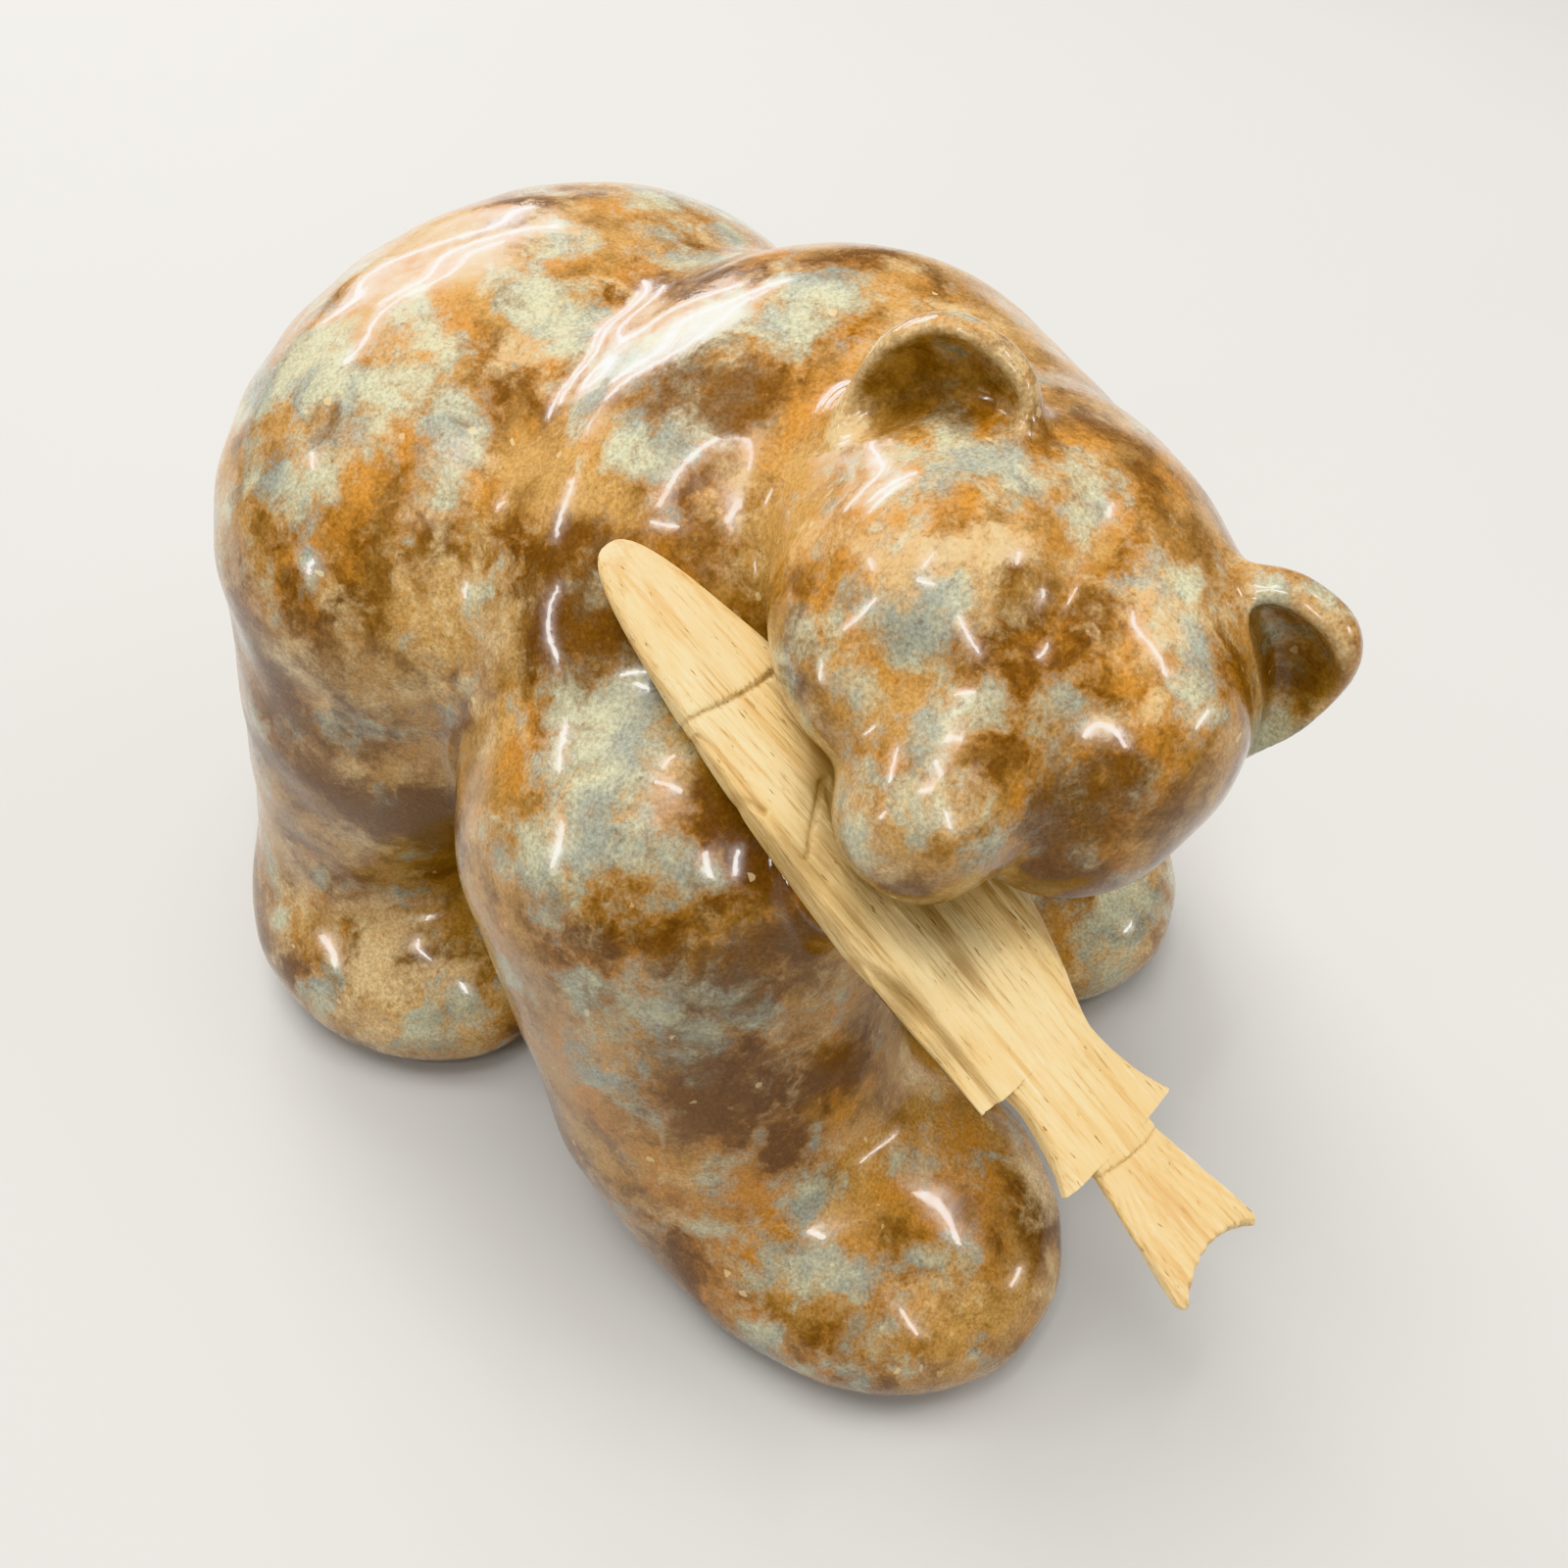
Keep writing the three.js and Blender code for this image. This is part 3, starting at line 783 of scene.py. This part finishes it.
class Graph:
    """The nodes of one material, each added and linked in one call."""

    def __init__(self, name):
        self.material = bpy.data.materials.new(name)
        self.material.use_nodes = True
        self.tree = self.material.node_tree
        self.tree.nodes.clear()

    def add(self, kind, inputs, output=0, **settings):
        """A node with its settings; each input is linked if it is a socket, or else set."""
        node = self.tree.nodes.new("ShaderNode" + kind)
        for key, value in settings.items():
            setattr(node, key, value)
        for key, value in inputs.items():
            if isinstance(value, bpy.types.NodeSocket):
                self.tree.links.new(value, node.inputs[key])
            else:
                node.inputs[key].default_value = value
        return node.outputs[output]

    def noise(self, where, size, detail=2.0, roughness=0.5, output=0):
        """Cloudy noise whose largest features are about a size across."""
        inputs = {"Vector": where, "Scale": 1 / size, "Detail": detail, "Roughness": roughness}
        return self.add("TexNoise", inputs, output)

    def ramp(self, value, start, full, low=0.0, high=1.0):
        """A smooth rise from low to high as the value goes from start to full."""
        inputs = {"Value": value, "From Min": start, "From Max": full, "To Min": low,
                  "To Max": high}
        return self.add("MapRange", inputs, interpolation_type="SMOOTHSTEP")

    def times(self, a, b):
        """Two values multiplied."""
        return self.add("Math", {0: a, 1: b}, operation="MULTIPLY")

    def raised(self, base, value, weight):
        """A value raised by a weight times another."""
        return self.add("Math", {0: value, 1: weight, 2: base}, operation="MULTIPLY_ADD")

    def mix(self, share, under, over, how="MIX"):
        """One colour laid over another in a share from 0 to 1. The node's inputs 6 and 7 and
        its output 2 are the ones for colours."""
        inputs = {0: share, 6: under, 7: over}
        return self.add("Mix", inputs, 2, data_type="RGBA", blend_type=how)

    def laid(self, under, over, value, start, full, share=1.0):
        """A colour laid over another, in a share that grows as a value goes from start to full."""
        return self.mix(self.ramp(value, start, full, high=share), under, over)

    def shaded(self, colour, value):
        """A colour multiplied by a value."""
        grey = self.add("CombineColor", {0: value, 1: value, 2: value})
        return self.mix(1.0, colour, grey, "MULTIPLY")

    def painted(self, layer):
        """The value that a piece keeps as an attribute."""
        return self.add("Attribute", {}, "Fac", attribute_name=layer)

    def moved(self, where, offset):
        """Coordinates shifted by an offset."""
        return self.add("VectorMath", {0: where, 1: offset}, operation="ADD")

    def finish(self, shader):
        """The finished material, with the shader as its surface."""
        output = self.tree.nodes.new("ShaderNodeOutputMaterial")
        self.tree.links.new(shader, output.inputs["Surface"])
        return self.material


def stone_material(finish):
    """Polished soapstone: a brown and ochre ground, rusty and creamy clouds, and pale
    grey-green patches with broken, rust-lined edges, all under a fine grain. Each cloud's noise
    is raised where the piece's attribute says that its colour gathers. Some brown clouds are
    painted shade, and some creamy clouds are painted light."""
    graph = Graph("polished_soapstone")
    where = graph.add("TexCoord", {}, "Object")
    patch = finish.patch_size
    wander = graph.noise(where, 0.5 * patch, detail=3, roughness=0.6, output="Color")
    shift = graph.add("VectorMath", {0: wander, 1: (0.5, 0.5, 0.5)}, operation="SUBTRACT")
    shift = graph.add("VectorMath", {0: shift, "Scale": 0.3 * patch}, operation="SCALE")
    bent = graph.moved(where, shift)

    def cloud(kind, weight, offset, size, detail=8, roughness=0.68):
        """Noise of its own, plus a weight times how much of that kind gathers there."""
        noise = graph.noise(graph.moved(bent, offset), size * patch, detail, roughness)
        return graph.raised(noise, graph.painted(kind), weight)

    tone = graph.noise(bent, 1.1 * patch, detail=6, roughness=0.62)
    colour = graph.laid(finish.brown, finish.ochre, tone, 0.38, 0.62)
    rust = cloud("rust", weight=0.13, offset=(0.3, 0.1, 0.7), size=0.7)
    colour = graph.laid(colour, finish.rust, rust, 0.5, 0.68, share=0.85)
    # The stone's own creamy clouds, with painted light on the right hind foot and the left
    # forefoot.
    cream = cloud("cream", weight=0.15, offset=(0.9, 0.4, 0.2), size=0.6)
    colour = graph.laid(colour, finish.cream, cream, 0.52, 0.72, share=0.75)

    # The pale patches, with rust along the edge where their noise starts to rise.
    pale = cloud("pale", weight=0.15, offset=(0.2, 0.8, 0.5), size=0.65, detail=9, roughness=0.64)
    edge = graph.times(graph.ramp(pale, 0.48, 0.55), graph.ramp(pale, 0.55, 0.62, 1, 0))
    colour = graph.mix(graph.times(edge, 0.4), colour, finish.rust)
    blue = graph.noise(graph.moved(bent, (0.5, 0.5, 0.9)), 0.5 * patch, detail=4, roughness=0.6)
    chalk = graph.laid(finish.grey_green, finish.blue_grey, blue, 0.4, 0.62)
    colour = graph.laid(colour, chalk, pale, 0.5, 0.68, share=0.9)
    # The stone's own brown patches, with painted shade on the flank, under the left cheek and in
    # the ear hollows.
    dark_and_shade = cloud("dark_and_shade", weight=0.25, offset=(0.7, 0.6, 0.1), size=0.6, roughness=0.66)
    colour = graph.laid(colour, finish.brown, dark_and_shade, 0.56, 0.78, share=0.88)

    # The grain: rusty and brown specks, an even mottle, and a few bright flecks.
    speck = graph.noise(where, 2.4 * finish.grain_size, detail=5, roughness=0.8)
    colour = graph.laid(colour, finish.rust, speck, 0.56, 0.7, share=0.4)
    colour = graph.laid(colour, finish.brown, speck, 0.44, 0.32, share=0.45)
    grain = graph.noise(where, finish.grain_size, detail=3, roughness=0.7)
    colour = graph.shaded(colour, graph.ramp(grain, 0.25, 0.75, low=0.72, high=1.26))
    fleck = graph.add("TexVoronoi", {"Vector": where, "Scale": 0.6 / finish.grain_size}, "Color")
    colour = graph.laid(colour, finish.fleck, fleck, 0.93, 0.97, share=0.5)

    ripple = graph.noise(where, size=0.012)
    scuff = graph.noise(where, size=0.0011, detail=3, roughness=0.6)
    height = graph.raised(ripple, scuff, weight=0.03)
    bump = graph.add("Bump", {"Height": height, "Strength": 0.35, "Distance": 0.0006})
    polish = (finish.roughness - 0.04, finish.roughness + 0.08)
    shader = graph.add(
        "BsdfPrincipled",
        {
            "Base Color": colour,
            "Roughness": graph.ramp(scuff, 0.35, 0.7, *polish),
            "IOR": 1.5,
            "Subsurface Weight": 0.1,
            "Subsurface Radius": (1.0, 0.62, 0.3),
            "Subsurface Scale": 0.002,
            "Coat Weight": 0.3,
            "Coat Roughness": 0.05,
            "Normal": bump,
        },
    )
    return graph.finish(shader)


def bone_material(finish):
    """Bone: cream, with long fibres along the fish, brown pores drawn out along them, cuts
    darkened by painted shade and a darker lower wall, and a brown by the mouth that is partly a
    stain and partly painted shade under the muzzle."""
    graph = Graph("carved_bone")
    object_place = graph.add("TexCoord", {}, "Object")
    turn = fish_frame().to_3x3().inverted().to_euler()
    along = graph.add("Mapping", {"Vector": object_place, "Rotation": turn})

    def fibres(stretch, size, detail=4.0, roughness=0.6):
        """Noise that is drawn out along the fish."""
        place = graph.add("Mapping", {"Vector": along, "Scale": (1 / stretch, 1, 1)})
        return graph.noise(place, size, detail, roughness)

    tone = fibres(stretch=3, size=0.008)
    broad = fibres(stretch=22, size=0.0013)
    fine = fibres(stretch=18, size=0.00045, detail=5, roughness=0.7)
    pore = fibres(stretch=5, size=0.0004, detail=2, roughness=0.5)

    colour = graph.laid(finish.cream, finish.honey, tone, 0.36, 0.64)
    colour = graph.mix(graph.times(graph.painted("wall"), 0.3), colour, finish.amber)
    colour = graph.laid(colour, finish.amber, broad, 0.5, 0.66, share=0.65)
    colour = graph.laid(colour, finish.fibre, fine, 0.5, 0.7, share=0.85)
    colour = graph.laid(colour, finish.pale, fine, 0.44, 0.3, share=0.5)
    # Brown by the mouth, partly a stain and partly painted shade under the muzzle, broken up by
    # the bands.
    stain_and_shade_share = graph.times(graph.painted("stain"), graph.ramp(broad, 0.35, 0.6, low=0.55))
    colour = graph.mix(graph.times(stain_and_shade_share, 0.85), colour, finish.stain)
    colour = graph.laid(colour, finish.pore, pore, 0.67, 0.74, share=0.8)
    # Painted shade in the cuts: darker the deeper they are cut.
    colour = graph.laid(colour, finish.fibre, graph.painted("cuts"), 0.08, 0.5, share=0.5)

    height = graph.raised(fine, pore, weight=-0.3)
    height = graph.raised(height, broad, weight=0.8)
    bump = graph.add("Bump", {"Height": height, "Strength": 0.9, "Distance": 0.0004})
    polish = (finish.roughness - 0.06, finish.roughness + 0.12)
    shader = graph.add(
        "BsdfPrincipled",
        {
            "Base Color": colour,
            "Roughness": graph.ramp(fine, 0.3, 0.7, *polish),
            "IOR": 1.54,
            "Subsurface Weight": 0.12,
            "Subsurface Radius": (1.0, 0.7, 0.4),
            "Subsurface Scale": 0.001,
            "Normal": bump,
        },
    )
    return graph.finish(shader)


def floor_material(colour):
    """A plain, matt, pale floor with a faint mottle."""
    graph = Graph("plain_floor")
    where = graph.add("TexCoord", {}, "Object")
    mottle = graph.ramp(graph.noise(where, size=0.2, detail=3), 0.3, 0.7, low=0.97)
    shader = graph.add(
        "BsdfPrincipled", {"Base Color": graph.shaded(colour, mottle), "Roughness": 0.85}
    )
    return graph.finish(shader)


# ---- what a user may change ----


def a_length(name, description, default):
    """A length property whose default is given in millimetres."""
    return FloatProperty(name=name, description=description, default=default * MM, min=0,
                         unit="LENGTH", precision=5)


def a_colour(name, description, default):
    """A colour property whose default is linear red, green and blue."""
    return FloatVectorProperty(name=name, description=description, default=(*default, 1),
                               size=4, min=0, max=1, subtype="COLOR")


def a_share(name, description, default):
    """A property that runs from 0 to 1."""
    return FloatProperty(name=name, description=description, default=default, min=0, max=1,
                         subtype="FACTOR")


def an_angle(name, description, default):
    """An angle property whose default is given in degrees."""
    turn = math.radians(default)
    return FloatProperty(name=name, description=description, default=turn, subtype="ANGLE")


class StoneShape(bpy.types.PropertyGroup):
    """How finely and how crisply the stone is carved."""

    fine_step: a_length("Head step", "Spacing of the net over the head", 0.7)
    coarse_step: a_length("Body step", "Spacing of the net over the rest", 2)
    crease: a_length("Muzzle crease", "Width of the crease between muzzle and cheeks", 3.5)
    ear_fillet: a_length("Ear fillet", "Width of the fillet that joins on each ear", 5)
    ear_rim: a_length("Ear rim", "Width of the rounding round each ear's hollow", 1.9)
    mouth_edge: a_length("Mouth edge", "Rounding of the mouth's edge round the fish", 0.7)
    foot_edge: a_length("Foot edge", "Rounding of the feet's edge at the floor", 1.2)
    grip_gap: a_length("Grip gap", "Gap between the stone and the fish", 0.3)
    unevenness: a_length("Unevenness", "How far handwork leaves the surface from even", 0.25)
    wave_length: a_length("Wave length", "How far apart the uneven places are", 24)


class StoneFinish(bpy.types.PropertyGroup):
    """The stone's colours and polish."""

    ochre: a_colour("Ochre", "The ground colour", (0.4, 0.235, 0.08))
    brown: a_colour("Brown", "The darker ground colour", (0.115, 0.046, 0.009))
    rust: a_colour("Rust", "Clouds and the edges of the pale patches", (0.42, 0.19, 0.04))
    cream: a_colour("Cream", "Light clouds", (0.62, 0.47, 0.25))
    grey_green: a_colour("Grey-green", "Pale patches", (0.42, 0.41, 0.28))
    blue_grey: a_colour("Blue-grey", "Colder places in the pale patches", (0.26, 0.28, 0.23))
    fleck: a_colour("Fleck", "Bright grains", (0.7, 0.55, 0.3))
    patch_size: a_length("Patch size", "How large the patches of colour are", 16)
    grain_size: a_length("Grain size", "How large the grains are", 0.45)
    roughness: a_share("Roughness", "How matt the polished stone is", 0.2)


class BoneFinish(bpy.types.PropertyGroup):
    """The bone's colours and polish."""

    cream: a_colour("Cream", "The ground colour", (0.95, 0.77, 0.42))
    honey: a_colour("Honey", "Deeper bands", (0.86, 0.62, 0.28))
    amber: a_colour("Amber", "The lower side wall and the deepest bands", (0.58, 0.33, 0.11))
    pale: a_colour("Pale", "The palest fibres", (1.0, 0.92, 0.68))
    fibre: a_colour("Fibre", "Fine brown lines along the fish", (0.42, 0.24, 0.085))
    # The brown by the mouth: partly a stain, partly painted shade under the muzzle.
    stain: a_colour("Stain", "The stain by the mouth", (0.34, 0.22, 0.085))
    pore: a_colour("Pore", "Short brown pores", (0.22, 0.11, 0.035))
    roughness: a_share("Roughness", "How matt the bone is", 0.3)


class StudioSetup(bpy.types.PropertyGroup):
    """Floor, lamps and camera."""

    floor: a_colour("Floor", "The floor's colour", (0.44, 0.43, 0.41))
    camera_azimuth: an_angle("Camera azimuth", "Which way round the camera stands", -53)
    camera_elevation: an_angle("Camera elevation", "How far the camera looks down", 51)
    camera_place: FloatVectorProperty(
        name="Camera place", description="Where the camera is", size=3,
        default=(-0.11492, -0.08205, 0.212), subtype="TRANSLATION", unit="LENGTH")
    power: FloatProperty(
        name="Power", description="Power that each lamp gives its share of", default=7.1,
        min=0, unit="POWER")


# ---- operators ----


class CARVING_OT_bear(bpy.types.Operator):
    """Carve the stone bear and polish it"""

    bl_idname = "carving.bear"
    bl_label = "Bear"

    def execute(self, context):
        points, quads = stone_surface(context.scene.carving_stone_shape)
        material = stone_material(context.scene.carving_stone_finish)
        bear = new_piece("bear_carving", points - ORIGIN, quads.tolist(), material)
        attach(bear, "root")
        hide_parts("bear")
        paint_clouds(bear, points)
        return {"FINISHED"}


class CARVING_OT_fish(bpy.types.Operator):
    """Carve the bone fish that the bear holds"""

    bl_idname = "carving.fish"
    bl_label = "Fish"

    def execute(self, context):
        surface = fish_surface()
        rings, turns, _ = surface.shape
        points = set_in(fish_frame(), surface.reshape(-1, 3)) - ORIGIN
        material = bone_material(context.scene.carving_bone_finish)
        fish = new_piece("fish_carving", points, tube_faces(rings, turns), material)
        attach(fish, "root")
        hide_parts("fish")
        paint_fish(fish, surface)
        return {"FINISHED"}


def away(azimuth, elevation):
    """The direction from the carving towards a lamp or the camera."""
    level = math.cos(elevation)
    return Vector((math.sin(azimuth) * level, -math.cos(azimuth) * level, math.sin(elevation)))


class Lamp(NamedTuple):
    """A rectangular light: its name, azimuth and elevation in degrees, width and height in
    metres, and share of the power. Its width lies level."""

    name: str
    azimuth: float
    elevation: float
    width: float
    height: float
    power: float


# How far each lamp stands from the carving's middle, in metres.
LAMP_DISTANCE = 0.8
# Soft lamps light the carving and are not seen in its polish; the others make its streaks.
SOFT_LAMPS = (
    Lamp("overhead", 170, 84, 0.6, 0.6, 1.25),
    Lamp("side_fill", 50, 42, 0.5, 0.5, 0.25),
    Lamp("front_fill", -62, 30, 0.4, 0.4, 0.07),
)
STREAK_LAMPS = (
    Lamp("back_strip", 150, 25, 0.42, 0.025, 0.3),
    Lamp("upper_back_strip", 158, 32, 0.42, 0.02, 0.22),
    Lamp("low_back_strip", 153, 11, 0.36, 0.02, 0.14),
    Lamp("neck_strip", -72, 60, 0.2, 0.025, 0.12),
    Lamp("crown_strip", -88, 76, 0.025, 0.2, 0.1),
    Lamp("muzzle_strip", -38, 33, 0.025, 0.2, 0.12),
    Lamp("rump_lamp", -150, 36, 0.14, 0.025, 0.08),
    Lamp("leg_lamp", -117, 17, 0.03, 0.16, 0.09),
    Lamp("brow_lamp", 36, 50, 0.16, 0.025, 0.09),
    Lamp("foot_lamp", 20, 14, 0.2, 0.025, 0.08),
)


def add_lamp(lamp, power, target):
    """Adds a lamp that faces the target."""
    light = bpy.data.lights.new(lamp.name, "AREA")
    light.shape = "RECTANGLE"
    light.size, light.size_y = lamp.width, lamp.height
    light.energy = lamp.power * power
    placed = bpy.data.objects.new(lamp.name, light)
    direction = away(math.radians(lamp.azimuth), math.radians(lamp.elevation))
    placed.location = target + direction * LAMP_DISTANCE
    placed.rotation_euler = (-direction).to_track_quat("-Z", "Y").to_euler()
    bpy.context.scene.collection.objects.link(placed)
    return placed


# The light from all round, and half the floor's width in millimetres.
WORLD_COLOUR, WORLD_STRENGTH = (1.0, 0.97, 0.92, 1), 0.22
FLOOR_REACH = 2500
# The camera's sensor and lens in millimetres, and the nearest that it sees in metres.
SENSOR_WIDTH, LENS, NEAREST_SEEN = 36, 36, 0.01


def add_world(scene):
    """Adds an even, slightly warm light from all round."""
    world = bpy.data.worlds.new("studio")
    world.use_nodes = True
    background = world.node_tree.nodes["Background"]
    background.inputs["Color"].default_value = WORLD_COLOUR
    background.inputs["Strength"].default_value = WORLD_STRENGTH
    scene.world = world


def add_camera(scene, setup):
    """Adds the camera at its place, looking back against its azimuth and elevation."""
    data = bpy.data.cameras.new("camera")
    data.sensor_width = SENSOR_WIDTH
    data.lens = LENS
    data.clip_start = NEAREST_SEEN
    camera = bpy.data.objects.new("camera", data)
    camera.location = setup.camera_place
    direction = away(setup.camera_azimuth, setup.camera_elevation)
    camera.rotation_euler = (-direction).to_track_quat("-Z", "Y").to_euler()
    scene.collection.objects.link(camera)
    scene.camera = camera


class CARVING_OT_studio(bpy.types.Operator):
    """Set out the floor, the lamps and the camera"""

    bl_idname = "carving.studio"
    bl_label = "Studio"

    def execute(self, context):
        setup = context.scene.carving_studio
        corners = FLOOR_REACH * np.array(((-1, -1, 0), (1, -1, 0), (1, 1, 0), (-1, 1, 0)))
        floor = new_piece("floor", corners, [(0, 1, 2, 3)], floor_material(setup.floor))

        middle = np.mean(CAD_BOX, axis=0)
        for lamp in SOFT_LAMPS:
            add_lamp(lamp, setup.power, middle).visible_glossy = False
        for lamp in STREAK_LAMPS:
            add_lamp(lamp, setup.power, middle)
        add_world(context.scene)
        add_camera(context.scene, setup)
        context.scene.view_settings.view_transform = "Khronos PBR Neutral"
        return {"FINISHED"}


class CARVING_PT_carving(bpy.types.Panel):
    """Lists the pieces of the carving and the studio"""

    bl_idname = "CARVING_PT_carving"
    bl_label = "Soapstone Bear"
    bl_space_type = "VIEW_3D"
    bl_region_type = "UI"
    bl_category = "Carving"

    def draw(self, context):
        """Draws each operator's button, with its properties under it."""
        for operator, groups in PANEL_ROWS:
            self.layout.operator(operator.bl_idname)
            for group in groups:
                values = getattr(context.scene, group)
                for name in values.__annotations__:
                    self.layout.prop(values, name)


GROUPS = {
    "carving_stone_shape": StoneShape,
    "carving_stone_finish": StoneFinish,
    "carving_bone_finish": BoneFinish,
    "carving_studio": StudioSetup,
}
PANEL_ROWS = (
    (CARVING_OT_bear, ("carving_stone_shape", "carving_stone_finish")),
    (CARVING_OT_fish, ("carving_bone_finish",)),
    (CARVING_OT_studio, ("carving_studio",)),
)
OPERATORS = tuple(operator for operator, _ in PANEL_ROWS)
CLASSES = (*GROUPS.values(), *OPERATORS, CARVING_PT_carving)


def register():
    """Makes the classes known, and gives each scene its property groups."""
    for item in CLASSES:
        bpy.utils.register_class(item)
    for name, group in GROUPS.items():
        setattr(bpy.types.Scene, name, PointerProperty(type=group))


def unregister():
    """Takes back what register did, in the other order."""
    for name in GROUPS:
        delattr(bpy.types.Scene, name)
    for item in reversed(CLASSES):
        bpy.utils.unregister_class(item)


def main():
    """Builds the carving and its studio."""
    register()
    bpy.ops.carving.bear()
    bpy.ops.carving.fish()
    bpy.ops.carving.studio()


if __name__ == "__main__":
    main()
